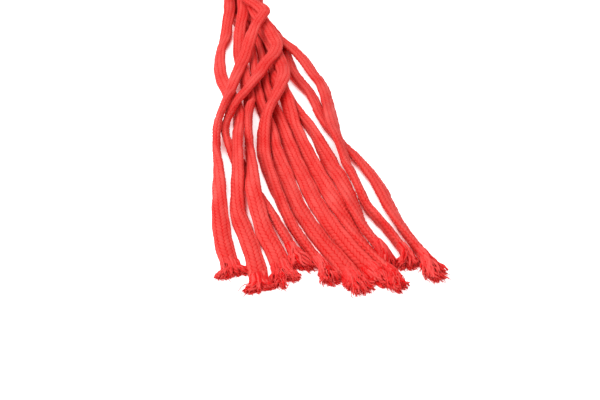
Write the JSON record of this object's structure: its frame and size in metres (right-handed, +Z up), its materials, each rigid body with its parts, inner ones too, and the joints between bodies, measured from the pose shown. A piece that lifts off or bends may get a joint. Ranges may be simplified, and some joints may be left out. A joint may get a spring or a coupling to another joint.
{
  "type": "bundle of braided cotton cords with frayed ends",
  "caption": "Loose bundle of soft red braided cotton cords, gathered at the head by a cord wrap, crossing over one another and fanning out to cut, frayed tips.",
  "frame": {"origin": "on the table, under the middle of the bundle's bounding box", "axes": "+Y towards the gathered head, +Z up, +X to the right seen from the tips"},
  "size_m": [0.1014, 0.335, 0.0275],
  "materials": {
    "braided_cotton": "matt braided cotton",
    "filler_yarn": "matt loose cotton yarn"
  },
  "bodies": {
    "root": {"gathering_wrap": "braided_cotton", "sheath_01": "braided_cotton", "sheath_02": "braided_cotton", "sheath_03": "braided_cotton", "sheath_04": "braided_cotton", "sheath_05": "braided_cotton", "sheath_06": "braided_cotton", "sheath_07": "braided_cotton", "sheath_08": "braided_cotton", "sheath_09": "braided_cotton", "sheath_10": "braided_cotton", "sheath_11": "braided_cotton", "core_01": "filler_yarn", "core_02": "filler_yarn", "core_03": "filler_yarn", "core_04": "filler_yarn", "core_05": "filler_yarn", "core_06": "filler_yarn", "core_07": "filler_yarn", "core_08": "filler_yarn", "core_09": "filler_yarn", "core_10": "filler_yarn", "core_11": "filler_yarn"}
  },
  "joints": []
}
